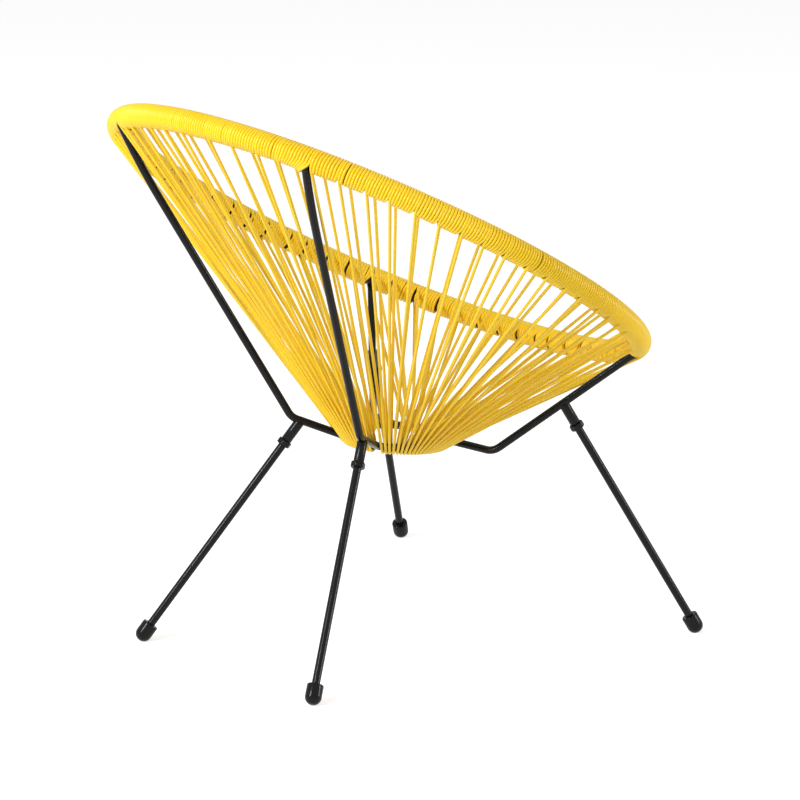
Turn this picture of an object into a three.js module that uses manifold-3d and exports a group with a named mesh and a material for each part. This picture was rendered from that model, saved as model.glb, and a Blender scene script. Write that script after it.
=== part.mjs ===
// Round cord-strung lounge chair: a tilted steel hoop and a small seat ring joined by four bent
// rods, four screw-in legs with lock nuts and rubber feet, and one plastic cord laced between
// the hoop and the ring. Millimetres, +Z up, +X to the front, +Y to the sitter's left.
import * as THREE from 'three';
import { mergeVertices } from 'three/addons/utils/BufferGeometryUtils.js';
import Module from 'manifold-3d';

const wasm = await Module();
wasm.setup();

// Clearance that touching pieces keep
const CLEARANCE = 0.3;

// Hoop: one tube bent to a circle, rear edge raised
const HOOP_RADIUS = 352;
const HOOP_TUBE = 22;
const HOOP_WALL = 1.5;
const HOOP_FORWARD = 1;
const HOOP_HEIGHT = 516;
const HOOP_TILT = THREE.MathUtils.degToRad(31.4);

// Seat ring: solid round bar, front edge slightly lower
const RING_BAR = 10;
const RING_FORWARD = 32;
const RING_HEIGHT = 251;
const RING_TILT = THREE.MathUtils.degToRad(4);

// Cord: bundles wound on the hoop, one hairpin to the seat ring at each gap. The slit is the
// bare hoop between bundles, and the tuck is how far a strand's end sinks into its bundle.
const CORD = 3.9;
const CORD_SLIT = 2.2;
const CORD_TUCK = 0.4;
const LOOP_CORNERS = 3;
const RING_CORD_GAP = 0.5;
const REAR_BUNDLES = 11;
const SIDE_BUNDLES = 20;
const FRONT_BUNDLES = 17;
const SECTOR_BUNDLES = 4;

// Spare length of the seat ring in each span of cord, for the rods that join it there
const FRONT_ROOM = 18;
const SIDE_ROOM = 20;
const REAR_ROOM = 14.8;

// Support rods, each bent once between the hoop and the seat ring. A rod meets the hoop on its
// outer side, by its outset, and ends a little below the hoop's middle, by its drop.
const ROD_BAR = 10;
const REAR_ROD_OUTSET = 16.3;
const REAR_ROD_DROP = 4;
const FRONT_ROD_OUTSET = 5.5;
const FRONT_ROD_DROP = 0;
const ROD_BEND_RADIUS = 22;
const ROD_CORD_CLEARANCE = 0.6;
const REAR_BEND_SHARE = 0.7413;
const REAR_BEND_SAG = 76.6;
const REAR_BEND_SPREAD = -5.7;
const FRONT_BEND_SHARE = 0.8692;
const FRONT_BEND_SAG = 22.2;
const FRONT_BEND_SPREAD = 39.2;

// Legs: a coped socket on the rod, a lock nut, a screwed bar and a foot cap
const SOCKET_DIAMETER = 13.5;
const SOCKET_LENGTH = 31;
const SOCKET_CROWN = 9;
const WELD_REACH = 2.2;
const WELD_HEIGHT = 4;
const WELD_CURVE_SHARE = 1 / 3;
const THREAD = 9.4;
const NUT_FLATS = 16.5;
const NUT_HEIGHT = 7.5;
const NUT_CHAMFER = 1.1;
const LEG_BAR = 10.4;
const CAP_DIAMETER = 21;
const CAP_LENGTH = 26;
const CAP_EDGE = 1.4;
const CAP_BORE_DEPTH = 16;
const FOOT_FLAT = 0.5;
const REAR_LEG_SHARE = 0.165;
const REAR_FOOT_BACK = 252;
const REAR_FOOT_SIDE = 164;
const FRONT_LEG_SHARE = 0.48;
const FRONT_FOOT_AHEAD = 294;
const FRONT_FOOT_SIDE = 280;

// Facet counts
const HOOP_SIDES = 10;
const BORE_SIDES = 6;
const SLEEVE_SIDES = 6;
const CORD_SIDES = 4;
const ROD_SIDES = 10;
const BEND_STEPS = 4;
const RING_SIDES = 8;
const RING_STEPS = 48;
const CUTTER_SIDES = 12;
const TURNED_SIDES = 14;
const DOME_STEPS = 4;
const GAP_STEPS = 12;
const MERGE_SHARE = 0.001;
const HALF_SHARE = 0.5;
const GROUND_SHARE = 4;

// Sizes worked out from the ones above
const BUNDLES = REAR_BUNDLES + FRONT_BUNDLES + 2 * SIDE_BUNDLES;
const CORD_RADIUS = CORD / 2;
const HOOP_PITCH = (2 * Math.PI) / BUNDLES;
const REAR_ROD_ANGLE = Math.PI - (REAR_BUNDLES / 2) * HOOP_PITCH;
const FRONT_ROD_ANGLE = (FRONT_BUNDLES / 2) * HOOP_PITCH;
const BUNDLE_END = CORD_SLIT / 2;
const STRAND_CORNER = evenRadius(CORD_RADIUS, CORD_SIDES);
const STRAND_INSET = STRAND_CORNER + CORD_TUCK;
const HOOP_STRAND = HOOP_TUBE / 2 + CLEARANCE + CORD_RADIUS + CORD_TUCK;
const RING_STRAND = RING_BAR / 2 + CLEARANCE + CORD_RADIUS;
const LOOP_CORNER = Math.PI / LOOP_CORNERS / 2;
const LOOP_REACH = RING_STRAND / Math.cos(LOOP_CORNER);
const RING_PITCH_LENGTH = CORD + RING_CORD_GAP;
const FRONT_LOOPS = FRONT_BUNDLES + 1;
const REAR_LOOPS = REAR_BUNDLES + 1;
const SIDE_LOOPS = SIDE_BUNDLES - 1;
const FRONT_SPAN = (FRONT_LOOPS - 1) * RING_PITCH_LENGTH + FRONT_ROOM;
const REAR_SPAN = (REAR_LOOPS - 1) * RING_PITCH_LENGTH + REAR_ROOM;
const SIDE_SPAN = (SIDE_LOOPS - 1) * RING_PITCH_LENGTH + SIDE_ROOM;
const LOOP_CIRCLE = (FRONT_SPAN + REAR_SPAN + 2 * SIDE_SPAN) / (2 * Math.PI);
const RING_RADIUS = LOOP_CIRCLE + LOOP_REACH;
const RING_PITCH = RING_PITCH_LENGTH / LOOP_CIRCLE;
const RING_FRONT_ANGLE = FRONT_SPAN / LOOP_CIRCLE / 2;
const RING_REAR_ANGLE = Math.PI - REAR_SPAN / LOOP_CIRCLE / 2;
const WINDING_RADIUS = HOOP_TUBE / 2 + CLEARANCE + CORD;

const STEEL = { color: 0x2b2b2d, roughness: 0.35, metalness: 0.6 };
const CORD_YELLOW = { color: 0xf2c531, roughness: 0.3, metalness: 0 };
const RUBBER = { color: 0x1c1c1c, roughness: 0.6, metalness: 0 };

const chair = new THREE.Group();

// Small helpers for vectors and solids

const vector = (x, y, z) => new THREE.Vector3(x, y, z);
const along = (start, direction, distance) => start.clone().addScaledVector(direction, distance);
const between = (start, end, share) => start.clone().lerp(end, share);
const heading = (start, end) => end.clone().sub(start).normalize();

// A line through chosen points, swept exactly from point to point. The section's first axis
// keeps to the reference side, so that facets of neighbouring pieces line up.
class Route extends THREE.Curve {
  constructor(points, side) {
    super();
    this.points = points;
    this.side = side;
  }

  getPoint(share, target = new THREE.Vector3()) {
    const place = share * (this.points.length - 1);
    const index = Math.min(Math.floor(place), this.points.length - 2);
    return target.lerpVectors(this.points[index], this.points[index + 1], place - index);
  }

  getPointAt(share, target) {
    return this.getPoint(share, target);
  }

  getSpacedPoints() {
    return this.points.map((point) => point.clone());
  }

  getTangentAt(share, target = new THREE.Vector3()) {
    const last = this.points.length - 1;
    const index = Math.round(share * last);
    target.set(0, 0, 0);
    if (index > 0) target.add(heading(this.points[index - 1], this.points[index]));
    if (index < last) target.add(heading(this.points[index], this.points[index + 1]));
    return target.normalize();
  }

  computeFrenetFrames(steps) {
    const frames = { tangents: [], normals: [], binormals: [] };
    for (let i = 0; i <= steps; i += 1) {
      const tangent = this.getTangentAt(i / steps);
      const normal = this.side.clone().addScaledVector(tangent, -tangent.dot(this.side)).normalize();
      frames.tangents.push(tangent);
      frames.normals.push(normal);
      frames.binormals.push(tangent.clone().cross(normal));
    }
    return frames;
  }
}

function roundSection(radius, sides, turnShare = 0) {
  const points = [];
  for (let i = 0; i < sides; i += 1) {
    const angle = ((i + turnShare) / sides) * 2 * Math.PI;
    points.push(new THREE.Vector2(radius * Math.cos(angle), radius * Math.sin(angle)));
  }
  return points;
}

// Corner radius of a regular section that has a round one's area
function evenRadius(radius, sides) {
  const share = (2 * Math.PI) / sides;
  return radius * Math.sqrt(share / Math.sin(share));
}

function sweep(points, side, radius, sides, { bore, turnShare = 0 } = {}) {
  const section = new THREE.Shape(roundSection(radius, sides, turnShare));
  if (bore) section.holes.push(new THREE.Path(roundSection(bore.radius, bore.sides, HALF_SHARE)));
  return new THREE.ExtrudeGeometry(section, {
    steps: points.length - 1,
    bevelEnabled: false,
    extrudePath: new Route(points, side),
  });
}

function turned(profile, sides = TURNED_SIDES) {
  const geometry = new THREE.LatheGeometry(profile, sides);
  return geometry.rotateX(Math.PI / 2);
}

function volumeOf(positions, triangles) {
  const corners = [vector(0, 0, 0), vector(0, 0, 0), vector(0, 0, 0)];
  let volume = 0;
  for (let i = 0; i < triangles.length; i += 3) {
    corners.forEach((corner, k) => corner.fromArray(positions, triangles[i + k] * 3));
    volume += corners[0].dot(corners[1].clone().cross(corners[2]));
  }
  return volume;
}

function toSolid(geometry) {
  const bare = geometry.clone();
  bare.deleteAttribute('normal');
  bare.deleteAttribute('uv');
  const merged = mergeVertices(bare, CLEARANCE * MERGE_SHARE);
  const vertProperties = Float32Array.from(merged.attributes.position.array);
  const kept = [];
  for (let i = 0; i < merged.index.count; i += 3) {
    const [a, b, c] = [0, 1, 2].map((k) => merged.index.getX(i + k));
    if (a !== b && b !== c && c !== a) kept.push(a, b, c);
  }
  if (volumeOf(vertProperties, kept) < 0) kept.reverse();
  const triVerts = Uint32Array.from(kept);
  return new wasm.Manifold(new wasm.Mesh({ numProp: 3, vertProperties, triVerts }));
}

function toGeometry(solid) {
  const mesh = solid.getMesh();
  const geometry = new THREE.BufferGeometry();
  geometry.setAttribute('position', new THREE.BufferAttribute(mesh.vertProperties, 3));
  geometry.setIndex(new THREE.BufferAttribute(mesh.triVerts, 1));
  return geometry;
}

function addPiece(name, solid, look, parent = chair) {
  const mesh = new THREE.Mesh(toGeometry(solid), new THREE.MeshStandardMaterial(look));
  mesh.name = name;
  mesh.geometry.computeVertexNormals();
  parent.add(mesh);
  return mesh;
}

// The two circles that everything hangs on

const hoopCentre = vector(HOOP_FORWARD, 0, HOOP_HEIGHT);
const hoopFront = vector(Math.cos(HOOP_TILT), 0, -Math.sin(HOOP_TILT));
const ringCentre = vector(RING_FORWARD, 0, RING_HEIGHT);
const ringFront = vector(Math.cos(RING_TILT), 0, -Math.sin(RING_TILT));
const sideways = vector(0, 1, 0);
const hoopUpward = hoopFront.clone().cross(sideways);

function onCircle(centre, front, radius, angle) {
  const point = along(centre, front, radius * Math.cos(angle));
  return point.addScaledVector(sideways, radius * Math.sin(angle));
}

function tangentAt(front, angle) {
  const tangent = front.clone().multiplyScalar(-Math.sin(angle));
  return tangent.addScaledVector(sideways, Math.cos(angle));
}

const gapAngle = (index) => FRONT_ROD_ANGLE + index * HOOP_PITCH;
const hoopCorner = (index) => onCircle(hoopCentre, hoopFront, HOOP_RADIUS, gapAngle(index));
const ringPoint = (angle) => onCircle(ringCentre, ringFront, RING_RADIUS, angle);

// The side of the hoop that faces away from the seat's middle, square to the run of the cord
function outwardAt(rim, seat, tangent) {
  const outward = tangent.clone().cross(heading(rim, seat)).normalize();
  const inside = hoopCentre.clone().sub(between(rim, seat, HALF_SHARE));
  return outward.dot(inside) > 0 ? outward.negate() : outward;
}

// Hoop tube, bent in short chords with its corners at the cord gaps and one butt seam
function makeHoop() {
  const seamCentre = between(hoopCorner(0), hoopCorner(1), HALF_SHARE);
  const seamHeading = heading(hoopCorner(0), hoopCorner(1));
  const points = [along(seamCentre, seamHeading, CLEARANCE / 2)];
  for (let i = 1; i <= BUNDLES; i += 1) points.push(hoopCorner(i));
  points.push(along(seamCentre, seamHeading, -CLEARANCE / 2));
  const bore = { radius: HOOP_TUBE / 2 - HOOP_WALL, sides: BORE_SIDES };
  addPiece('rim_hoop', toSolid(sweep(points, hoopUpward, HOOP_TUBE / 2, HOOP_SIDES, { bore })), STEEL);
}

function ringSolid(barRadius) {
  const torus = new THREE.TorusGeometry(RING_RADIUS, barRadius, RING_SIDES, RING_STEPS);
  torus.rotateY(RING_TILT);
  torus.translate(ringCentre.x, ringCentre.y, ringCentre.z);
  return toSolid(torus);
}

// Support rods

const rearPlan = {
  rear: true,
  outset: REAR_ROD_OUTSET,
  drop: REAR_ROD_DROP,
  bendShare: REAR_BEND_SHARE,
  sag: REAR_BEND_SAG,
  spread: REAR_BEND_SPREAD,
};
const frontPlan = {
  rear: false,
  outset: FRONT_ROD_OUTSET,
  drop: FRONT_ROD_DROP,
  bendShare: FRONT_BEND_SHARE,
  sag: FRONT_BEND_SAG,
  spread: FRONT_BEND_SPREAD,
};
const REAR_RIGHT_CORNER = SIDE_BUNDLES + REAR_BUNDLES;
const FRONT_RIGHT_CORNER = BUNDLES - FRONT_BUNDLES;
const rodPlans = [
  { name: 'rear_left', corner: SIDE_BUNDLES, ringAngle: RING_REAR_ANGLE, side: 1, ...rearPlan },
  { name: 'rear_right', corner: REAR_RIGHT_CORNER, ringAngle: -RING_REAR_ANGLE, side: -1, ...rearPlan },
  { name: 'front_right', corner: FRONT_RIGHT_CORNER, ringAngle: -RING_FRONT_ANGLE, side: -1, ...frontPlan },
  { name: 'front_left', corner: 0, ringAngle: RING_FRONT_ANGLE, side: 1, ...frontPlan },
];

function rodCorners(plan) {
  const corner = hoopCorner(plan.corner);
  const seat = ringPoint(plan.ringAngle);
  const outward = outwardAt(corner, seat, tangentAt(hoopFront, gapAngle(plan.corner)));
  const rim = along(corner, outward, plan.outset);
  const bend = between(rim, seat, plan.bendShare);
  bend.z -= plan.sag;
  bend.y += plan.side * plan.spread;
  return { rim, bend, seat };
}

// The two straight runs of a rod joined by a true arc
function rodRoute({ rim, bend, seat }, drop) {
  const upward = heading(bend, rim);
  const inward = heading(bend, seat);
  const half = upward.angleTo(inward) / 2;
  const centre = along(bend, upward.clone().add(inward).normalize(), ROD_BEND_RADIUS / Math.sin(half));
  const reach = ROD_BEND_RADIUS / Math.tan(half);
  const arcStart = along(bend, upward, reach).sub(centre);
  const axis = arcStart.clone().cross(along(bend, inward, reach).sub(centre)).normalize();
  const points = [along(rim, upward, -drop)];
  for (let i = 0; i <= BEND_STEPS; i += 1) {
    const turn = (Math.PI - 2 * half) * (i / BEND_STEPS);
    points.push(arcStart.clone().applyAxisAngle(axis, turn).add(centre));
  }
  points.push(seat);
  return points;
}

// A short round cutter on the hoop at one corner, one clearance larger than the tube
function hoopCutter(corner) {
  const radius = (HOOP_TUBE / 2 + CLEARANCE) / Math.cos(Math.PI / CUTTER_SIDES);
  const points = [hoopCorner(corner - 1), hoopCorner(corner), hoopCorner(corner + 1)];
  return toSolid(sweep(points, hoopUpward, radius, CUTTER_SIDES));
}

function makeRod(plan, ringCutter) {
  const solid = toSolid(sweep(rodRoute(rodCorners(plan), plan.drop), sideways, ROD_BAR / 2, ROD_SIDES));
  const coped = solid.subtract(hoopCutter(plan.corner)).subtract(ringCutter);
  addPiece(`support_rod_${plan.name}`, largestPart(coped), STEEL);
}

// Legs, each built on its own axis with the rod at zero and the foot downwards

function legAxis(plan) {
  const corners = rodCorners(plan);
  const top = plan.rear
    ? between(corners.bend, corners.seat, REAR_LEG_SHARE)
    : between(corners.bend, corners.rim, FRONT_LEG_SHARE);
  const footX = plan.rear ? -REAR_FOOT_BACK : FRONT_FOOT_AHEAD;
  const footY = plan.side * (plan.rear ? REAR_FOOT_SIDE : FRONT_FOOT_SIDE);
  const foot = vector(footX, footY, CAP_DIAMETER / 2 - FOOT_FLAT);
  return { top, foot };
}

function socketProfile() {
  const outer = SOCKET_DIAMETER / 2;
  const bore = THREAD / 2 + CLEARANCE;
  const weld = -ROD_BAR / 2;
  return [
    new THREE.Vector2(0, -SOCKET_CROWN),
    new THREE.Vector2(bore, -SOCKET_CROWN),
    new THREE.Vector2(bore, -SOCKET_LENGTH),
    new THREE.Vector2(outer, -SOCKET_LENGTH),
    new THREE.Vector2(outer, weld - WELD_HEIGHT),
    new THREE.Vector2(outer + WELD_REACH * WELD_CURVE_SHARE, weld - WELD_HEIGHT * WELD_CURVE_SHARE),
    new THREE.Vector2(outer + WELD_REACH, weld + WELD_HEIGHT * WELD_CURVE_SHARE),
    new THREE.Vector2(outer, 0),
    new THREE.Vector2(0, 0),
  ];
}

function nutSolid(topHeight) {
  const corners = roundSection(NUT_FLATS / 2 / Math.cos(Math.PI / 6), 6);
  const section = new THREE.Shape(corners);
  section.holes.push(new THREE.Path(roundSection(THREAD / 2 + CLEARANCE, ROD_SIDES)));
  const body = new THREE.ExtrudeGeometry(section, { depth: NUT_HEIGHT, bevelEnabled: false });
  const rim = NUT_FLATS / 2 / Math.cos(Math.PI / 6);
  const chamfer = turned([
    new THREE.Vector2(0, 0),
    new THREE.Vector2(rim - NUT_CHAMFER, 0),
    new THREE.Vector2(rim, NUT_CHAMFER / 2),
    new THREE.Vector2(rim, NUT_HEIGHT - NUT_CHAMFER / 2),
    new THREE.Vector2(rim - NUT_CHAMFER, NUT_HEIGHT),
    new THREE.Vector2(0, NUT_HEIGHT),
  ], CUTTER_SIDES);
  const nut = toSolid(body).intersect(toSolid(chamfer));
  return nut.translate([0, 0, topHeight - NUT_HEIGHT]);
}

function legProfile(shoulder, end) {
  return [
    new THREE.Vector2(0, end),
    new THREE.Vector2(LEG_BAR / 2 - CLEARANCE, end),
    new THREE.Vector2(LEG_BAR / 2, end + CLEARANCE),
    new THREE.Vector2(LEG_BAR / 2, shoulder),
    new THREE.Vector2(THREAD / 2, shoulder),
    new THREE.Vector2(THREAD / 2, -SOCKET_CROWN - CLEARANCE),
    new THREE.Vector2(0, -SOCKET_CROWN - CLEARANCE),
  ];
}

// The cap's dome is centred on the foot point; its flat brim faces up the leg
function capProfile(centre) {
  const radius = CAP_DIAMETER / 2;
  const brim = centre + CAP_LENGTH - radius;
  const bore = LEG_BAR / 2 + CLEARANCE;
  const profile = [
    new THREE.Vector2(0, brim - CAP_BORE_DEPTH),
    new THREE.Vector2(bore, brim - CAP_BORE_DEPTH),
    new THREE.Vector2(bore, brim),
    new THREE.Vector2(radius - CAP_EDGE, brim),
    new THREE.Vector2(radius, brim - CAP_EDGE),
  ];
  for (let i = 0; i < DOME_STEPS; i += 1) {
    const angle = (i / DOME_STEPS) * (Math.PI / 2);
    profile.push(new THREE.Vector2(radius * Math.cos(angle), centre - radius * Math.sin(angle)));
  }
  profile.push(new THREE.Vector2(0, centre - radius));
  return profile;
}

function makeLeg(plan) {
  const { top, foot } = legAxis(plan);
  const length = top.distanceTo(foot);
  const stance = new THREE.Object3D();
  stance.position.copy(top);
  stance.quaternion.setFromUnitVectors(vector(0, 0, 1), heading(foot, top));
  stance.updateMatrix();
  const onAxis = (solid) => solid.transform(stance.matrix.toArray());

  const rodRadius = (ROD_BAR / 2 + CLEARANCE) / Math.cos(Math.PI / CUTTER_SIDES);
  const rodCutter = toSolid(sweep(rodRoute(rodCorners(plan), plan.drop), sideways, rodRadius, CUTTER_SIDES));
  const socket = onAxis(toSolid(turned(socketProfile()))).subtract(rodCutter);
  addPiece(`leg_socket_${plan.name}`, largestPart(socket), STEEL);

  const nutTop = -SOCKET_LENGTH - CLEARANCE;
  addPiece(`lock_nut_${plan.name}`, onAxis(nutSolid(nutTop)), STEEL);

  const shoulder = nutTop - NUT_HEIGHT - CLEARANCE;
  const brim = -length + CAP_LENGTH - CAP_DIAMETER / 2;
  const end = brim - CAP_BORE_DEPTH + CLEARANCE;
  addPiece(`leg_bar_${plan.name}`, onAxis(toSolid(turned(legProfile(shoulder, end)))), STEEL);

  const cap = onAxis(toSolid(turned(capProfile(-length))));
  const groundSide = GROUND_SHARE * CAP_DIAMETER;
  const ground = new THREE.BoxGeometry(groundSide, groundSide, CAP_DIAMETER);
  ground.translate(foot.x, foot.y, -CAP_DIAMETER / 2);
  addPiece(`foot_cap_${plan.name}`, cap.subtract(toSolid(ground)), RUBBER);
}

function largestPart(solid) {
  const parts = solid.decompose();
  return parts.reduce((best, part) => (part.volume() > best.volume() ? part : best));
}

// Cord lacing. A hairpin leaves the winding at the outer side of the hoop, passes round the
// seat ring and comes back to the inner side; a bundle is the winding between two hairpins.

// Where a bundle ends beside a rod: clear of the rod as it leans away from the hoop
function endAtRod(corner, sense) {
  const plan = rodPlans.find((rod) => rod.corner === corner % BUNDLES);
  const { rim, bend } = rodCorners(plan);
  const lean = Math.asin(heading(rim, bend).dot(tangentAt(hoopFront, gapAngle(corner))));
  const drift = Math.max(0, sense * WINDING_RADIUS * Math.tan(lean));
  return ROD_BAR / 2 / Math.cos(lean) + ROD_CORD_CLEARANCE + drift;
}

// A strand leaves the bundle after the gap and returns to the one before it. At the end of a
// sector both ends stay on the side that the strands lean to.
function hairpinPoints(pin, ends = {}) {
  const tangent = tangentAt(hoopFront, gapAngle(pin.corner));
  const ringTangent = tangentAt(ringFront, pin.ringAngle);
  const rim = hoopCorner(pin.corner);
  const seat = ringPoint(pin.ringAngle);
  const outward = outwardAt(rim, seat, tangent);
  const ringRun = heading(rim, seat);
  ringRun.addScaledVector(ringTangent, -ringRun.dot(ringTangent)).normalize();
  const ringOutward = outward.clone().addScaledVector(ringTangent, -outward.dot(ringTangent));
  ringOutward.addScaledVector(ringRun, -ringOutward.dot(ringRun)).normalize();
  const leaveAt = ends.only ?? pin.after;
  const returnAt = ends.only ?? pin.before;
  const points = [along(along(rim, outward, HOOP_STRAND), tangent, leaveAt)];
  for (let i = 0; i < LOOP_CORNERS; i += 1) {
    const angle = (2 * i + 1) * LOOP_CORNER;
    points.push(along(seat, ringOutward, LOOP_REACH * Math.cos(angle))
      .addScaledVector(ringRun, LOOP_REACH * Math.sin(angle)));
  }
  points.push(along(along(rim, outward, -HOOP_STRAND), tangent, returnAt));
  return { points, side: ringTangent };
}

function leansOnward(pin) {
  return heading(hoopCorner(pin.corner), ringPoint(pin.ringAngle))
    .dot(tangentAt(hoopFront, gapAngle(pin.corner))) > 0;
}

function sleeveSolid(bundle) {
  const start = hoopCorner(bundle.corner);
  const end = hoopCorner(bundle.corner + 1);
  const forward = heading(start, end);
  const points = [along(start, forward, bundle.lead), along(end, forward, -bundle.trail)];
  const outward = outwardAt(between(start, end, HALF_SHARE), ringPoint(bundle.ringAngle), forward);
  const outer = evenRadius(WINDING_RADIUS, SLEEVE_SIDES);
  const boreRadius = (HOOP_TUBE / 2 + CLEARANCE) / Math.cos(Math.PI / BORE_SIDES);
  const bore = { radius: boreRadius, sides: BORE_SIDES };
  return toSolid(sweep(points, outward, outer, SLEEVE_SIDES, { bore }));
}

// One span of bundles between two rods. A span with end pins also has a hairpin beside each rod.
function spanParts(span) {
  const ringAngle = (place) => span.ringMiddle + (place - span.count / 2) * RING_PITCH;
  const atRod = (place) => place === 0 || place === span.count;
  const bundleEnd = (place, sense) => (atRod(place) ? endAtRod(span.corner + place, sense) : BUNDLE_END);
  const bundles = [];
  for (let i = 0; i < span.count; i += 1) {
    const ends = { lead: bundleEnd(i, 1), trail: bundleEnd(i + 1, -1) };
    bundles.push({ corner: span.corner + i, ringAngle: ringAngle(i + HALF_SHARE), ...ends });
  }
  const pins = [];
  for (let i = 0; i <= span.count; i += 1) {
    const before = i > 0 ? -bundles[i - 1].trail - STRAND_INSET : null;
    const after = i < span.count ? bundles[i].lead + STRAND_INSET : null;
    const pin = { corner: span.corner + i, ringAngle: ringAngle(i), before, after };
    pins.push(span.endPins || !atRod(i) ? pin : null);
  }
  return { pins, bundles };
}

const sideMiddle = (RING_FRONT_ANGLE + RING_REAR_ANGLE) / 2;
const spans = [
  { name: 'left', corner: 0, count: SIDE_BUNDLES, ringMiddle: sideMiddle, endPins: false },
  { name: 'rear', corner: SIDE_BUNDLES, count: REAR_BUNDLES, ringMiddle: Math.PI, endPins: true },
  { name: 'right', corner: REAR_RIGHT_CORNER, count: SIDE_BUNDLES, ringMiddle: -sideMiddle, endPins: false },
  { name: 'front', corner: FRONT_RIGHT_CORNER, count: FRONT_BUNDLES, ringMiddle: 0, endPins: true },
];

// Each sector is one connected length of lacing: its bundles and the hairpins after them
function makeSector(name, bundles, pins) {
  const parts = bundles.map(sleeveSolid);
  pins.forEach((pin) => {
    parts.push(toSolid(sweep(pin.points, pin.side, STRAND_CORNER, CORD_SIDES, { turnShare: HALF_SHARE })));
  });
  addPiece(name, wasm.Manifold.union(parts), CORD_YELLOW);
}

function segmentGap(a, b, c, d) {
  const line = new THREE.Line3(c, d);
  let least = Infinity;
  for (let i = 0; i <= GAP_STEPS; i += 1) {
    const point = between(a, b, i / GAP_STEPS);
    least = Math.min(least, point.distanceTo(line.closestPointToPoint(point, true, vector(0, 0, 0))));
  }
  return least;
}

function leastGap(routes) {
  let least = Infinity;
  routes.forEach((route, index) => {
    const next = routes[(index + 1) % routes.length];
    for (let i = 0; i < route.length - 1; i += 1) {
      for (let k = 0; k < next.length - 1; k += 1) {
        least = Math.min(least, segmentGap(route[i], route[i + 1], next[k], next[k + 1]));
      }
    }
  });
  return least - CORD;
}

function makeLacing() {
  const routes = [];
  spans.forEach((span) => {
    const { pins, bundles } = spanParts(span);
    const sectorCount = Math.max(1, Math.round(span.count / SECTOR_BUNDLES));
    for (let s = 0; s < sectorCount; s += 1) {
      const first = Math.round((s * span.count) / sectorCount);
      const last = Math.round(((s + 1) * span.count) / sectorCount);
      const sectorPins = [];
      for (let i = first; i <= last; i += 1) {
        const inside = i > first && i < last;
        const ownsStart = i === first && (i === 0 || leansOnward(pins[i]));
        const ownsEnd = i === last && (i === span.count || !leansOnward(pins[i]));
        const only = ownsStart ? pins[i]?.after : pins[i]?.before;
        if (pins[i] && inside) sectorPins.push(hairpinPoints(pins[i]));
        if (pins[i] && (ownsStart || ownsEnd)) sectorPins.push(hairpinPoints(pins[i], { only }));
      }
      const sectorBundles = bundles.slice(first, last);
      routes.push(...sectorPins.map((pin) => pin.points));
      makeSector(`lacing_${span.name}_${s + 1}`, sectorBundles, sectorPins);
    }
  });
  console.log(`cord: ${BUNDLES} bundles, least gap between strands ${leastGap(routes).toFixed(2)} mm`);
}

makeHoop();
addPiece('seat_ring', ringSolid(RING_BAR / 2), STEEL);
const ringCutter = ringSolid(RING_BAR / 2 + CLEARANCE);
rodPlans.forEach((plan) => {
  makeRod(plan, ringCutter);
  makeLeg(plan);
});
makeLacing();

export default chair;
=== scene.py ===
import math
import random
from collections import namedtuple

import bpy
import numpy as np
from mathutils import Matrix, Vector


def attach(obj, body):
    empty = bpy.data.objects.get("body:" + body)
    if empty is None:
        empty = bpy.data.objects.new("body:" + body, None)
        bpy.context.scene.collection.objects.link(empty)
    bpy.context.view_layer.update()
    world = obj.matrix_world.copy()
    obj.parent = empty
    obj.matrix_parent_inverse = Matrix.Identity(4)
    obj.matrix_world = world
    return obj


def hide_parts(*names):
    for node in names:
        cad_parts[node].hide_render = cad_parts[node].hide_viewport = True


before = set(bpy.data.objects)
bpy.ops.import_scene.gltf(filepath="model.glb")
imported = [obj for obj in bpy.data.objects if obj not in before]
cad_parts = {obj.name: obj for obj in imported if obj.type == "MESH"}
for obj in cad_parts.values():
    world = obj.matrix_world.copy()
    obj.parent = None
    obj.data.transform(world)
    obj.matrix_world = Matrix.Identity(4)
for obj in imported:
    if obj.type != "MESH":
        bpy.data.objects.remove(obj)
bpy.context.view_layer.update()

random.seed(68)

# Lengths are in millimetres, as in the CAD source, until a mesh is made. The floor, the noise and
# the bump are in metres, and so are the places of the camera and the lamps. The size of a bar or
# of the cord is its radius. SIDES counts the sides of a round piece and STEPS the steps along it.
# SHARP is the angle in degrees above which its edges are sharp.
MM = 0.001
FULL_TURN = 2 * math.pi
SIDEWAYS = np.array([0.0, 1.0, 0.0])


# ---- The hoop and the seat ring

# front is the direction of the point at angle 0
Circle = namedtuple("Circle", "centre front radius bar")


def leaning(degrees):
    """The direction of a circle's front when its plane leans down by some degrees."""
    tilt = math.radians(degrees)
    return np.array([math.cos(tilt), 0.0, -math.sin(tilt)])


HOOP = Circle(np.array([1.0, 0.0, 516.0]), leaning(31.4), 352.0, 11.0)
RING = Circle(np.array([32.0, 0.0, 251.0]), leaning(4.0), 64.777, 5.0)
HOOP_STEPS, HOOP_SIDES = 204, 24
RING_STEPS, RING_SIDES = 120, 20


# ---- The cord's plan

# The cord's middle turns at WIND round the hoop's bar and at LOOP round the ring's. Its points
# keep LEAST_STEP from each other.
CORD = 1.95
CLEARANCE = 0.3
WIND = HOOP.bar + CLEARANCE + CORD
LOOP = RING.bar + CLEARANCE + CORD
CORD_SIDES, CORD_SHARP = 10, 60
LEAST_STEP = 0.8

# The hoop carries 68 bundles of turns. Between two bundles is a gap, where the cord runs down to
# the ring and back. Gaps are numbered from the front left rod round by the rear, and each rod
# stands at one.
BUNDLES = 68
PITCH = FULL_TURN / BUNDLES
FIRST_GAP_ANGLE = 8.5 * PITCH
FRONT_LEFT, REAR_LEFT, REAR_RIGHT, FRONT_RIGHT = 0, 20, 31, 51

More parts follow.
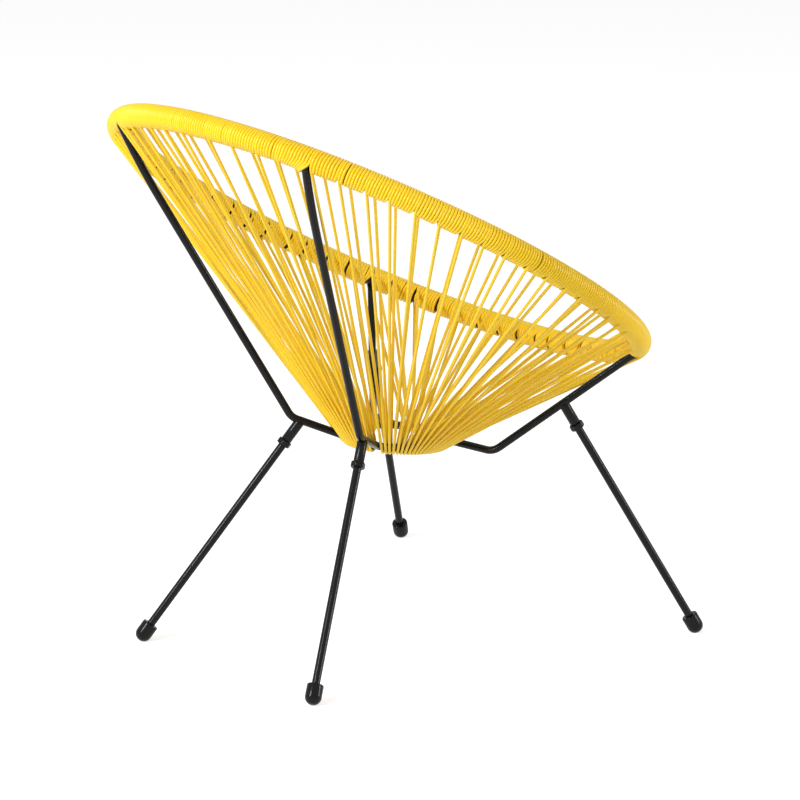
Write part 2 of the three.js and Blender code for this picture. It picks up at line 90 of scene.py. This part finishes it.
# Runs of bundles between two rods: name, first gap, bundles, where the middle of their hairpins
# lies on the ring, the angle from one hairpin to the next there, and the pieces they are cut into
SIDE_MIDDLE, SIDE_PITCH = math.radians(111), math.radians(4.0)
SPAN_PLANS = (
    ("left", FRONT_LEFT, 20, SIDE_MIDDLE, SIDE_PITCH, 5),
    ("rear", REAR_LEFT, 11, math.pi, math.radians(3.7), 3),
    ("right", REAR_RIGHT, 20, -SIDE_MIDDLE, SIDE_PITCH, 5),
    ("front", FRONT_RIGHT, 17, 0.0, math.radians(4.47), 4),
)
SIDE_SPANS = ("left", "right")

# How far each gap lies from an even spacing, in degrees: read from the photo where it shows them,
# and random elsewhere
GAP_SHIFT = [random.uniform(-0.9, 0.9) for _ in range(BUNDLES)]
GAP_SHIFT[REAR_LEFT + 1:REAR_RIGHT] = (
    -1.6, -2.8, -3.8, -4.3, -4.2, -3.7, -1.3, -0.8, 0.0, -0.3)
GAP_SHIFT[REAR_RIGHT + 1:FRONT_RIGHT] = (
    1.7, 2.0, 1.4, 1.3, 0.9, 0.4, -0.2, -0.6, -0.6, -0.9,
    -1.0, -1.7, -0.7, -1.6, -2.3, -2.9, -2.1, -1.4, -0.7)
GAP_SHIFT[FRONT_LEFT] = GAP_SHIFT[FRONT_RIGHT] = 0.0
GAP_SHIFT[REAR_LEFT] = GAP_SHIFT[REAR_RIGHT] = 1.3

# A bundle's turns: their spacing, the steps in one turn, how far its outer and inner strands keep
# from the gaps, and how uneven its half turns are, with a slit in some bundles
TURN_PITCH = 4.04
TURN_STEPS = 20
OUTER_STRAND, INNER_STRAND = 1.0, 0.2
TURN_WEIGHTS = (0.97, 1.03)
SLIT_SHARE = 0.3
SLIT_WEIGHTS = (0.3, 0.7)

# A turn swings into its strand's direction over this angle. Beside a front rod the outer strands
# leave the hoop lower down, by a share of a turn, so that they pass inside the rod.
LEAVE_ANGLE = math.radians(20)
LOW_STRANDS = (1, 2, 48, 49, 50)
LOW_LEAVE = 60 / 360

# Hairpins: how unevenly they stand on the ring, how far a loop drifts along the ring from one
# strand to the other, the angle over which the drift comes in, and how far a strand sways
RING_JITTER = 0.2
LOOP_STEPS = 12
LOOP_DRIFT = LOOP * math.radians(60) / 2
DRIFT_EASE = math.radians(70)
STRAND_SWAY = 0.35
STRAND_STEPS = 10

# Turns beside a gap give way to a rod, or to the inner strand that comes up there: how far they
# are pushed along the hoop and lifted off it, the distances over which that fades, the marks of
# low_share, and whether the turns on both sides of the gap give way
PushRule = namedtuple("PushRule", "push push_fade lift lift_fade marks both_sides")
FRONT_ROD_PUSH = PushRule(6.0, 14.0, 1.6, 5.0, (20, -30, -90, -130), True)
REAR_ROD_PUSH = PushRule(13.5, 30.0, 4.0, 9.0, (40, -40, -100, -190), False)
STRAND_PUSH = PushRule(3.4, 9.0, 0.0, 9.0, (25, -50, -75, -120), False)
ROD_PUSHES = {
    FRONT_LEFT: FRONT_ROD_PUSH,
    FRONT_RIGHT: FRONT_ROD_PUSH,
    REAR_LEFT: REAR_ROD_PUSH,
    REAR_RIGHT: REAR_ROD_PUSH,
}


# ---- The rods' and legs' plan

ROD_BAR = 5.0
ROD_SIDES, ROD_SHARP = 24, 40
BEND_RADIUS = 22.0
BEND_STEPS = 12
TUCK_RUN = 110.0
TUCK_POINTS = 9
RIM_ARM_SHARES, SEAT_ARM_SHARES = (0.5, 0.98), (0.1, 0.6, 1.0)

# ring_degrees: the place on the ring that the rod is planned to; seat_shift: how far behind that
# it ends. outset: from the hoop's middle to the rod's; tuck: how far its top curves back in, over
# TUCK_RUN; top_rise: how far its top goes on past the rim. bend_share, sag, spread: the bend's
# place on the line from the rim to the ring, below it and beside it. leg_arm, leg_share: the arm
# that the leg's socket is on, and how far along it from the bend. foot: the middle of the cap's
# dome.
RodPlan = namedtuple("RodPlan", "ring_degrees seat_shift outset tuck top_rise "
                                "bend_share sag spread leg_arm leg_share foot")
ROD_PLANS = {
    "rear": RodPlan(
        ring_degrees=147.9, seat_shift=math.radians(5.4), outset=16.3, tuck=6.5, top_rise=1.5,
        bend_share=0.7413, sag=76.6, spread=-5.7,
        leg_arm="seat", leg_share=0.165, foot=(-252.0, 164.0, 10.0)),
    "front": RodPlan(
        ring_degrees=47.13, seat_shift=0.0, outset=5.5, tuck=0.0, top_rise=0.0,
        bend_share=0.8692, sag=22.2, spread=39.2,
        leg_arm="rim", leg_share=0.48, foot=(294.0, 280.0, 10.0)),
}
RODS = (
    ("rear", "left", REAR_LEFT, 1),
    ("rear", "right", REAR_RIGHT, -1),
    ("front", "right", FRONT_RIGHT, -1),
    ("front", "left", FRONT_LEFT, 1),
)

# Turned parts, as a radius and a height in the leg's own frame, which starts on the rod's centre
# line and has its Z along the leg, upwards
SOCKET_PROFILE = (
    (0, 0.5), (3.6, 0.5), (5.3, -0.6), (6.4, -2.6), (6.75, -5.0), (6.75, -30.4), (6.45, -31.0),
    (0, -31.0))
SOCKET_SIDES, SOCKET_SHARP = 40, 50
THREAD_PROFILE = ((0, -20.0), (4.7, -20.0), (4.7, -40.5), (0, -40.5))
THREAD_SIDES = 24

# The lock nut: its chamfer is given as drops from a face and insets from the hexagon's corners
NUT_TOP, NUT_HEIGHT, NUT_FLATS, NUT_BORE = -31.3, 7.5, 16.5, 4.75
NUT_CHAMFER = ((0.0, 1.5), (0.45, 0.75), (1.1, 0.35))
NUT_SIDES, NUT_SHARP = 72, 35

# The leg's shaft, which starts a little under the nut
LEG_BAR, LEG_CLEARANCE = 5.2, 0.3
LEG_TOP_CHAMFER, LEG_END_CHAMFER = 0.6, 0.3
LEG_SIDES, LEG_SHARP = 32, 40

# The foot cap: its height with a whole dome, its hole, how deep the leg stands in it, its brim as
# radii and drops, and how much of the dome there is
CAP_RADIUS, CAP_HEIGHT = 10.5, 26.0
CAP_HOLE, CAP_HOLE_DEPTH, LEG_IN_CAP = 5.5, 16.0, 15.7
CAP_BRIM = ((9.1, 0.0), (9.75, 0.18), (10.3, 0.75), (10.5, 1.6))
CAP_END, CAP_END_STEPS = math.radians(73), 12
CAP_SIDES, CAP_SHARP = 48, 50


# ---- Camera and studio

CAMERA_PLACE = (-3.267, -3.641, 1.619)
CAMERA_AZIMUTH, CAMERA_ELEVATION = math.radians(-132.23), math.radians(15.04)
CAMERA_ROLL = math.radians(0.10)
SENSOR_WIDTH, LENS = 36.0, 180.45

FLOOR_REACH = 30.0
FLOOR_TONE, FLOOR_ROUGHNESS, FLOOR_GLOW = 0.8, 0.9, 0.62
WORLD_LIGHT = 0.36

# Area lamps: name, place, size and watts. Both point at the same spot.
LAMPS = (
    ("key", (-3.6, 0.2, 2.5), (0.4, 2.0), 150),
    ("fill", (2.3, -2.9, 1.4), (0.4, 1.8), 54),
)
LAMP_TARGET = (0, 0, 0.3)


# ---- Directions and places

def unit(vector):
    return vector / np.linalg.norm(vector)


def smooth(share):
    share = min(max(share, 0.0), 1.0)
    return share * share * (3 - 2 * share)


def on_circle(circle, angle):
    around = math.cos(angle) * circle.front + math.sin(angle) * SIDEWAYS
    return circle.centre + circle.radius * around


def tangent_at(circle, angle):
    return -math.sin(angle) * circle.front + math.cos(angle) * SIDEWAYS


def even_angle(gap):
    return FIRST_GAP_ANGLE + gap * PITCH


def gap_angle(gap):
    return even_angle(gap) + math.radians(GAP_SHIFT[gap % BUNDLES])


def rim_frame(angle, ring_angle):
    """A point on the hoop's centre line, with the tangent, outward and seatward directions."""
    middle = on_circle(HOOP, angle)
    tangent = tangent_at(HOOP, angle)
    seat = on_circle(RING, ring_angle)
    down = seat - middle
    down = unit(down - tangent * down.dot(tangent))
    outward = np.cross(tangent, down)
    if outward.dot(HOOP.centre - (middle + seat) / 2) > 0:
        outward = -outward
    return middle, tangent, outward, down


# ---- Materials

RAMP_STOPS = (0.3, 0.7)
BUMP_DISTANCE = 0.0002


def linear(red, green, blue):
    """An sRGB colour, from 0 to 255, as the linear values that a shader takes."""
    values = []
    for value in (red, green, blue):
        value /= 255
        values.append(value / 12.92 if value <= 0.04045 else ((value + 0.055) / 1.055) ** 2.4)
    return (*values, 1.0)


def grey(value):
    return (value, value, value, 1.0)


def noise(tree, scale, detail):
    coords = tree.nodes.new("ShaderNodeTexCoord")
    texture = tree.nodes.new("ShaderNodeTexNoise")
    texture.inputs["Scale"].default_value = scale
    texture.inputs["Detail"].default_value = detail
    tree.links.new(coords.outputs["Object"], texture.inputs["Vector"])
    return texture.outputs["Fac"]


def ramp_to(tree, source, socket, colours):
    ramp = tree.nodes.new("ShaderNodeValToRGB")
    for element, place, colour in zip(ramp.color_ramp.elements, RAMP_STOPS, colours):
        element.position, element.color = place, colour
    tree.links.new(source, ramp.inputs["Fac"])
    tree.links.new(ramp.outputs["Color"], socket)


def bump_by(tree, source, shader, strength):
    bump = tree.nodes.new("ShaderNodeBump")
    bump.inputs["Strength"].default_value = strength
    bump.inputs["Distance"].default_value = BUMP_DISTANCE
    tree.links.new(source, bump.inputs["Height"])
    tree.links.new(bump.outputs["Normal"], shader.inputs["Normal"])


def look(name, uniform, tone, colours, grain, roughness, bump):
    """A material whose colour varies with one noise, and its roughness and bump with a second.

    uniform gives the shader's own values, with a middle roughness for a viewer that reads no
    nodes. tone and grain are a noise's scale and detail.
    """
    made = bpy.data.materials.new(name)
    made.use_nodes = True
    tree = made.node_tree
    shader = tree.nodes["Principled BSDF"]
    for socket, value in uniform.items():
        shader.inputs[socket].default_value = value
    ramp_to(tree, noise(tree, *tone), shader.inputs["Base Color"],
            [linear(*colour) for colour in colours])
    fine = noise(tree, *grain)
    ramp_to(tree, fine, shader.inputs["Roughness"], [grey(value) for value in roughness])
    bump_by(tree, fine, shader, bump)
    return made


# The look of each material slot
LOOKS = {
    "cord": look(
        "cord_vinyl",
        {"Roughness": 0.36, "Specular IOR Level": 0.28, "Coat Weight": 0.2,
         "Coat Roughness": 0.14},
        tone=(9.0, 2.0), colours=((252, 208, 20), (254, 216, 32)),
        grain=(120.0, 2.0), roughness=(0.32, 0.4), bump=0.03),
    "steel": look(
        "steel_black_enamel",
        {"Roughness": 0.18, "Specular IOR Level": 0.17},
        tone=(35.0, 4.0), colours=((13, 13, 14), (19, 19, 20)),
        grain=(30.0, 2.0), roughness=(0.15, 0.21), bump=0.01),
    "rubber": look(
        "rubber_black",
        {"Roughness": 0.16, "Specular IOR Level": 0.16},
        tone=(60.0, 4.0), colours=((13, 13, 13), (19, 19, 19)),
        grain=(500.0, 3.0), roughness=(0.13, 0.24), bump=0.05),
}


# ---- Mesh helpers

def add_piece(name, verts, faces, slot, nodes, sharp_degrees=None):
    """A smooth piece in its slot's look, with sharp edges where it turns more than some degrees."""
    mesh = bpy.data.meshes.new(name)
    mesh.from_pydata([tuple(v) for v in np.asarray(verts) * MM], [], faces)
    mesh.update()
    mesh.materials.append(LOOKS[slot])
    mesh.polygons.foreach_set("use_smooth", [True] * len(mesh.polygons))
    if sharp_degrees is not None:
        mesh.set_sharp_from_angle(angle=math.radians(sharp_degrees))
    piece = bpy.data.objects.new(name, mesh)
    bpy.context.scene.collection.objects.link(piece)
    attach(piece, "root")
    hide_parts(*nodes)


def band(low, high, sides):
    """The faces between two rows of points, given by the number of each row's first point."""
    faces = []
    for k in range(sides):
        n = (k + 1) % sides
        faces.append((low + k, low + n, high + n, high + k))
    return faces


def tube(points, radius, sides, closed=False):
    """A round tube along points, without twist. An open one has flat end faces."""
    points = np.asarray(points, dtype=float)
    count = len(points)
    if closed:
        steps = np.roll(points, -1, axis=0) - points
        tangents = steps + np.roll(steps, 1, axis=0)
    else:
        tangents = np.empty_like(points)
        tangents[1:-1] = points[2:] - points[:-2]
        tangents[0], tangents[-1] = points[1] - points[0], points[-1] - points[-2]
    tangents /= np.linalg.norm(tangents, axis=1)[:, None]
    side = np.cross(tangents[0], [0.0, 0.0, 1.0])
    if np.linalg.norm(side) < 0.1:  # it starts nearly upright
        side = np.cross(tangents[0], [1.0, 0.0, 0.0])
    angles = np.arange(sides) * FULL_TURN / sides
    circle = np.stack([np.cos(angles), np.sin(angles)], axis=1) * radius
    verts = np.empty((count, sides, 3))
    for i in range(count):
        side = side - tangents[i] * side.dot(tangents[i])
        side /= np.linalg.norm(side)
        other = np.cross(tangents[i], side)
        verts[i] = points[i] + circle[:, :1] * side + circle[:, 1:] * other
    faces = []
    for i in range(count if closed else count - 1):
        faces += band(i * sides, (i + 1) % count * sides, sides)
    if not closed:
        faces.append(tuple(range(sides - 1, -1, -1)))
        faces.append(tuple(range((count - 1) * sides, count * sides)))
    return verts.reshape(-1, 3), faces


def torus(circle, steps, sides):
    points = [on_circle(circle, FULL_TURN * i / steps) for i in range(steps)]
    return tube(points, circle.bar, sides, closed=True)


def row_of(radius_at, height, sides):
    """A row of points round Z, at the radius that a function of the angle gives."""
    row = []
    for k in range(sides):
        angle = FULL_TURN * k / sides
        radius = radius_at(angle)
        row.append((radius * math.cos(angle), radius * math.sin(angle), height))
    return row


def lathe(profile, sides):
    """Turns (radius, height) points about Z. The profile starts and ends on the axis."""
    verts, faces = [(0.0, 0.0, profile[0][1])], []
    for radius, height in profile[1:-1]:
        verts += row_of(lambda angle: radius, height, sides)
    verts.append((0.0, 0.0, profile[-1][1]))
    end, last_row = len(verts) - 1, len(verts) - 1 - sides
    for k in range(sides):
        n = (k + 1) % sides
        faces.append((0, 1 + n, 1 + k))
        faces.append((last_row + k, last_row + n, end))
    for first in range(1, last_row, sides):
        faces += band(first, first + sides, sides)
    return np.array(verts), faces


def joined(*parts):
    verts, faces, offset = [], [], 0
    for part_verts, part_faces in parts:
        verts.extend(part_verts)
        faces.extend(tuple(i + offset for i in face) for face in part_faces)
        offset += len(part_verts)
    return verts, faces


def placed(part, matrix):
    verts, faces = part
    turn = np.array(matrix.to_3x3())
    return verts @ turn.T + np.array(matrix.translation), faces


# ---- Cord

class Hairpin:
    """The loop of one gap round the seat ring, and the slope of its strands at the hoop."""

    def __init__(self, span, place):
        self.gap = (span.first_gap + place) % BUNDLES
        jitter = random.uniform(-RING_JITTER, RING_JITTER)
        ring_angle = span.ring_angle(place) + jitter / RING.radius
        rim, tangent, outward, down = rim_frame(gap_angle(span.first_gap + place), ring_angle)
        seat = on_circle(RING, ring_angle)
        ring_tangent = tangent_at(RING, ring_angle)
        run = unit(seat - rim)
        ring_down = unit(run - ring_tangent * run.dot(ring_tangent))
        ring_out = outward - ring_tangent * outward.dot(ring_tangent)
        ring_out = unit(ring_out - ring_down * ring_out.dot(ring_down))
        # How far the strands run along the hoop, and along the ring, for each step down
        self.slope = run.dot(tangent) / run.dot(down)
        drift = LOOP_DRIFT * (run.dot(ring_tangent) / run.dot(ring_down))
        self.loop = []
        for i in range(LOOP_STEPS + 1):
            angle = math.pi * i / LOOP_STEPS
            share = smooth(min(angle, math.pi - angle) / DRIFT_EASE)
            around = math.cos(angle) * ring_out + math.sin(angle) * ring_down
            self.loop.append(seat + LOOP * around + ring_tangent * drift * share)


class Span:
    """A run of bundles between two rods, with the hairpins (pins) at its gaps."""

    def __init__(self, name, first_gap, count, middle, pitch, sectors):
        self.name, self.first_gap, self.count, self.sectors = name, first_gap, count, sectors
        self.middle, self.pitch = middle, pitch
        self.pins = [Hairpin(self, place) for place in range(count + 1)]
        self.bundles = [self.bundle(place) for place in range(count)]

    def ring_angle(self, place):
        """Where on the ring the strands of a place in the span go to."""
        return self.middle + (place - self.count / 2) * self.pitch

    def bundle(self, place):
        """The points of a bundle, from the inner side at its far gap to the outer at its near."""
        start_pin, end_pin = self.pins[place + 1], self.pins[place]
        near = gap_angle(self.first_gap + place)
        length = (gap_angle(self.first_gap + place + 1) - near) * HOOP.radius
        room = length - OUTER_STRAND - INNER_STRAND
        turns = math.ceil(room / TURN_PITCH - 0.5) + 0.5
        halves = int(turns * 2)
        starts, steps = half_turns(halves, room)
        extra = LOW_LEAVE if end_pin.gap in LOW_STRANDS else 0.0
        count = int((turns + extra) * TURN_STEPS)
        points = []
        for i in range(count + 1):
            half = 2 * (turns + extra) * i / count
            index = min(int(half), halves - 1)
            along = length - INNER_STRAND - (starts[index] + steps[index] * (half - index))
            along += run_off(start_pin, half * math.pi)
            along += run_off(end_pin, (halves + 2 * extra - half) * math.pi)
            phase = math.pi - half * math.pi
            start_push, start_lift = give_way(start_pin.gap, length - along, phase, True)
            end_push, end_lift = give_way(end_pin.gap, along, phase, False)
            along += end_push - start_push
            middle, _, outward, down = rim_frame(near + along / HOOP.radius,
                                                 self.ring_angle(place + along / length))
            around = math.cos(phase) * outward - math.sin(phase) * down
            points.append(middle + (WIND + start_lift + end_lift) * around)
        return points


def half_turns(halves, room):
    """Where along the hoop each half turn starts, and how far it goes."""
    weights = [random.uniform(*TURN_WEIGHTS) for _ in range(halves)]
    if random.random() < SLIT_SHARE:
        weights[random.randrange(2, halves - 2)] += random.uniform(*SLIT_WEIGHTS)
    whole = sum(weights)
    steps = [room * weight / whole for weight in weights]
    starts = [0.0]
    for step in steps:
        starts.append(starts[-1] + step)
    return starts, steps


def run_off(pin, angle):
    """How far along the hoop a turn swings with its strand, at an angle from the strand's end."""
    if angle >= LEAVE_ANGLE:
        return 0.0
    share = 1 - angle / LEAVE_ANGLE
    return pin.slope * WIND * LEAVE_ANGLE * share ** 2 / 2


def low_share(angle, start, full, back, end):
    """One on the hoop's lower side and zero over its top.

    The angle is in radians. The marks are in degrees, from the highest to the lowest: zero above
    start, one from full to back, and zero below end.
    """
    degrees = (math.degrees(angle) + 270) % 360 - 270  # from -270 to 90
    if degrees > full:
        return smooth((start - degrees) / (start - full))
    return smooth((degrees - end) / (back - end))


def give_way(gap, distance, angle, before):
    """How far a turn at a distance from a gap is pushed along the hoop and lifted off it.

    before is true for the turns that lie before the gap, where the inner strand comes up.
    """
    rule = ROD_PUSHES.get(gap, STRAND_PUSH)
    if not (before or rule.both_sides):
        return 0.0, 0.0
    low = low_share(angle, *rule.marks)
    push = rule.push * math.exp(-distance / rule.push_fade) * low
    lift = rule.lift * math.exp(-distance / rule.lift_fade) * low
    return push, lift


def strand(start, end):
    """Points along one strand, a little uneven as hand-laced cord is."""
    sway = np.array([random.uniform(-1, 1) for _ in range(3)]) * STRAND_SWAY
    points = []
    for i in range(1, STRAND_STEPS):
        bow = sway * math.sin(math.pi * i / STRAND_STEPS)
        points.append(start + (end - start) * i / STRAND_STEPS + bow)
    return points


def thin(points):
    """The points without those that lie too close to the one before."""
    kept = [points[0]]
    for point in points[1:-1]:
        if np.linalg.norm(point - kept[-1]) > LEAST_STEP:
            kept.append(point)
    kept.append(points[-1])
    return kept


def sector_points(span, earlier, first, last):
    """The cord of some bundles of a span, from the last to the first and on to the next turn."""
    points = []
    for place in range(last - 1, first - 1, -1):
        turns, pin = span.bundles[place], span.pins[place]
        if points:
            points += strand(points[-1], turns[0])
        # The hairpin at a rod goes where the front or rear span has it
        if span.name in SIDE_SPANS and place == 0:
            pin = earlier.pins[-1]
        points += turns + strand(turns[-1], pin.loop[0]) + pin.loop
    following = span.bundles[first - 1] if first else earlier.bundles[-1]
    points += strand(points[-1], following[0]) + [following[0]]
    return thin(points)


def add_cord():
    spans = [Span(*plan) for plan in SPAN_PLANS]
    total = 0.0
    for index, span in enumerate(spans):
        for sector in range(span.sectors):
            first = round(sector * span.count / span.sectors)
            last = round((sector + 1) * span.count / span.sectors)
            points = sector_points(span, spans[index - 1], first, last)
            total += sum(np.linalg.norm(b - a) for a, b in zip(points, points[1:]))
            name = f"{span.name}_{sector + 1}"
            add_piece(f"cord_{name}", *tube(points, CORD, CORD_SIDES), "cord",
                      [f"lacing_{name}"], CORD_SHARP)
    print(f"cord length {total / 1000:.1f} m")


# ---- Steel and rubber

def rod_corners(plan, gap, side):
    """A rod's rim, bend and seat points, and the way its top curves in to the hoop."""
    ring_angle = side * math.radians(plan.ring_degrees)
    middle, _, outward, _ = rim_frame(even_angle(gap), ring_angle)
    rim = middle + outward * plan.outset
    bend = rim + (on_circle(RING, ring_angle) - rim) * plan.bend_share
    bend += np.array([0.0, side * plan.spread, -plan.sag])
    seat = on_circle(RING, ring_angle + side * plan.seat_shift)
    return rim, bend, seat, outward * plan.tuck


def rod_route(rim, bend, seat, top_rise, tuck):
    """The rod's centre line: a top that curves in by the tuck, two straight arms and a bend."""
    upward, inward = unit(rim - bend), unit(seat - bend)
    half = math.acos(upward.dot(inward)) / 2
    centre = bend + unit(upward + inward) * BEND_RADIUS / math.sin(half)
    reach = BEND_RADIUS / math.tan(half)
    bend_start, bend_end = bend + upward * reach, bend + inward * reach
    sweep = math.pi - 2 * half
    top = rim + upward * top_rise
    points = [top - upward * run - tuck * (1 - run / TUCK_RUN) ** 2
              for run in np.linspace(0.0, TUCK_RUN, TUCK_POINTS)]
    points += [top + (bend_start - top) * share for share in RIM_ARM_SHARES]
    for i in range(BEND_STEPS + 1):
        share = i / BEND_STEPS
        turned = ((bend_start - centre) * math.sin((1 - share) * sweep)
                  + (bend_end - centre) * math.sin(share * sweep)) / math.sin(sweep)
        points.append(centre + turned)
    last = points[-1]
    points += [last + (seat - last) * share for share in SEAT_ARM_SHARES]
    return points


def leg_frame(top, foot):
    """The frame of a leg and its socket, nut and cap."""
    turn = Vector((0, 0, 1)).rotation_difference(Vector(unit(top - foot)))
    return Matrix.Translation(Vector(top)) @ turn.to_matrix().to_4x4()


def leg_profile(end):
    """A leg bar from under its nut down to its end in the cap."""
    top = NUT_TOP - NUT_HEIGHT - LEG_CLEARANCE
    return [(0, top), (LEG_BAR - LEG_TOP_CHAMFER, top), (LEG_BAR, top - LEG_TOP_CHAMFER),
            (LEG_BAR, end + LEG_END_CHAMFER), (LEG_BAR - LEG_END_CHAMFER, end), (0, end)]


def cap_profile(brim, dome):
    """A foot cap from the bottom of its hole over its brim to its dome."""
    profile = [(0, brim - CAP_HOLE_DEPTH), (CAP_HOLE, brim - CAP_HOLE_DEPTH), (CAP_HOLE, brim)]
    profile += [(radius, brim - drop) for radius, drop in CAP_BRIM]
    for i in range(CAP_END_STEPS + 1):
        angle = i / CAP_END_STEPS * CAP_END
        profile.append((CAP_RADIUS * math.cos(angle), dome - CAP_RADIUS * math.sin(angle)))
    profile.append((0, profile[-1][1]))
    return profile


def nut():
    """A hexagon nut with rounded corners and turned chamfers, as rows of points from the bore."""
    half_flats = NUT_FLATS / 2
    corner = half_flats / math.cos(math.pi / 6)

    def hexagon(limit):
        def radius_at(angle):
            from_flat = (angle + math.pi / 6) % (math.pi / 3) - math.pi / 6
            return min(half_flats / math.cos(from_flat), limit)
        return radius_at

    def bore(angle):
        return NUT_BORE

    bottom = NUT_TOP - NUT_HEIGHT
    rows = [(NUT_TOP, bore)]
    rows += [(NUT_TOP - drop, hexagon(corner - inset)) for drop, inset in NUT_CHAMFER]
    rows += [(bottom + rise, hexagon(corner - inset)) for rise, inset in reversed(NUT_CHAMFER)]
    rows.append((bottom, bore))
    verts, faces = [], []
    for index, (height, radius_at) in enumerate(rows):
        verts += row_of(radius_at, height, NUT_SIDES)
        following = (index + 1) % len(rows)
        faces += band(following * NUT_SIDES, index * NUT_SIDES, NUT_SIDES)
    return np.array(verts), faces


def add_leg(name, top, foot):
    """The socket, nut, leg and cap under one rod."""
    stance = leg_frame(top, foot)
    length = np.linalg.norm(top - foot)
    brim = -length + CAP_HEIGHT - CAP_RADIUS
    add_piece(f"socket_{name}", *placed(lathe(SOCKET_PROFILE, SOCKET_SIDES), stance),
              "steel", [f"leg_socket_{name}"], SOCKET_SHARP)
    add_piece(f"nut_{name}", *placed(nut(), stance), "steel", [f"lock_nut_{name}"], NUT_SHARP)
    bars = joined(placed(lathe(leg_profile(brim - LEG_IN_CAP), LEG_SIDES), stance),
                  placed(lathe(THREAD_PROFILE, THREAD_SIDES), stance))
    add_piece(f"leg_{name}", *bars, "steel", [f"leg_bar_{name}"], LEG_SHARP)
    verts, faces = placed(lathe(cap_profile(brim, -length), CAP_SIDES), stance)
    verts[:, 2] = np.maximum(verts[:, 2], 0.0)  # it stands flat on the floor
    add_piece(f"cap_{name}", verts, faces, "rubber", [f"foot_cap_{name}"], CAP_SHARP)


def add_frame():
    add_piece("hoop", *torus(HOOP, HOOP_STEPS, HOOP_SIDES), "steel", ["rim_hoop"])
    add_piece("ring", *torus(RING, RING_STEPS, RING_SIDES), "steel", ["seat_ring"])
    for end, hand, gap, side in RODS:
        name, plan = f"{end}_{hand}", ROD_PLANS[end]
        rim, bend, seat, tuck = rod_corners(plan, gap, side)
        route = rod_route(rim, bend, seat, plan.top_rise, tuck)
        add_piece(f"rod_{name}", *tube(route, ROD_BAR, ROD_SIDES), "steel",
                  [f"support_rod_{name}"], ROD_SHARP)
        arm_end = seat if plan.leg_arm == "seat" else rim
        add_leg(name, bend + (arm_end - bend) * plan.leg_share,
                np.array(plan.foot) * (1, side, 1))


# ---- Camera at the photograph's viewpoint, floor and light

def looking(place, forward, roll=0.0):
    """The matrix of a camera or lamp at a place that looks forward."""
    turn = Vector(forward).to_track_quat("-Z", "Y").to_matrix().to_4x4()
    return Matrix.Translation(Vector(place)) @ (turn @ Matrix.Rotation(roll, 4, "Z"))


def add_camera():
    data = bpy.data.cameras.new("camera")
    data.sensor_width, data.lens = SENSOR_WIDTH, LENS
    camera = bpy.data.objects.new("camera", data)
    forward = (-math.cos(CAMERA_AZIMUTH) * math.cos(CAMERA_ELEVATION),
               -math.sin(CAMERA_AZIMUTH) * math.cos(CAMERA_ELEVATION),
               -math.sin(CAMERA_ELEVATION))
    camera.matrix_world = looking(CAMERA_PLACE, forward, CAMERA_ROLL)
    bpy.context.scene.collection.objects.link(camera)
    bpy.context.scene.camera = camera


def camera_seen(tree, strength):
    """A strength for camera, glossy and transmission rays, and zero for all other light."""
    path = tree.nodes.new("ShaderNodeLightPath")
    value = path.outputs["Is Camera Ray"]
    for name in ("Is Glossy Ray", "Is Transmission Ray"):
        either = tree.nodes.new("ShaderNodeMath")
        either.operation = "MAXIMUM"
        tree.links.new(value, either.inputs[0])
        tree.links.new(path.outputs[name], either.inputs[1])
        value = either.outputs["Value"]
    scaled = tree.nodes.new("ShaderNodeMath")
    scaled.operation = "MULTIPLY"
    scaled.inputs[1].default_value = strength
    tree.links.new(value, scaled.inputs[0])
    return scaled.outputs["Value"]


def floor_material():
    made = bpy.data.materials.new("floor_white")
    made.use_nodes = True
    tree = made.node_tree
    shader = tree.nodes["Principled BSDF"]
    shader.inputs["Base Color"].default_value = grey(FLOOR_TONE)
    shader.inputs["Roughness"].default_value = FLOOR_ROUGHNESS
    shader.inputs["Specular IOR Level"].default_value = 0.0
    glow = tree.nodes.new("ShaderNodeEmission")
    glow.inputs["Color"].default_value = grey(1.0)
    tree.links.new(camera_seen(tree, FLOOR_GLOW), glow.inputs["Strength"])
    both = tree.nodes.new("ShaderNodeAddShader")
    tree.links.new(shader.outputs["BSDF"], both.inputs[0])
    tree.links.new(glow.outputs["Emission"], both.inputs[1])
    tree.links.new(both.outputs["Shader"], tree.nodes["Material Output"].inputs["Surface"])
    return made


def add_floor():
    corners = [(x * FLOOR_REACH, y * FLOOR_REACH, 0)
               for x, y in ((-1, -1), (1, -1), (1, 1), (-1, 1))]
    mesh = bpy.data.meshes.new("floor")
    mesh.from_pydata(corners, [], [(0, 1, 2, 3)])
    mesh.materials.append(floor_material())
    floor = bpy.data.objects.new("floor", mesh)
    bpy.context.scene.collection.objects.link(floor)


def add_world():
    """A dim white world that shows as plain white behind and in the object."""
    world = bpy.data.worlds.new("studio")
    bpy.context.scene.world = world
    world.use_nodes = True
    tree = world.node_tree
    light = tree.nodes["Background"]
    light.inputs["Color"].default_value = grey(1.0)
    light.inputs["Strength"].default_value = WORLD_LIGHT
    shown = tree.nodes.new("ShaderNodeBackground")
    shown.inputs["Color"].default_value = grey(1.0)
    mix = tree.nodes.new("ShaderNodeMixShader")
    tree.links.new(camera_seen(tree, 1.0), mix.inputs["Fac"])
    tree.links.new(light.outputs["Background"], mix.inputs[1])
    tree.links.new(shown.outputs["Background"], mix.inputs[2])
    tree.links.new(mix.outputs["Shader"], tree.nodes["World Output"].inputs["Surface"])


def add_lamp(name, place, size, watts):
    data = bpy.data.lights.new(name, "AREA")
    data.shape, data.size, data.size_y, data.energy = "RECTANGLE", *size, watts
    lamp = bpy.data.objects.new(name, data)
    lamp.matrix_world = looking(place, Vector(LAMP_TARGET) - Vector(place))
    bpy.context.scene.collection.objects.link(lamp)


bpy.context.scene.view_settings.view_transform = "Standard"
add_camera()
add_cord()
add_frame()
add_floor()
add_world()
for lamp in LAMPS:
    add_lamp(*lamp)
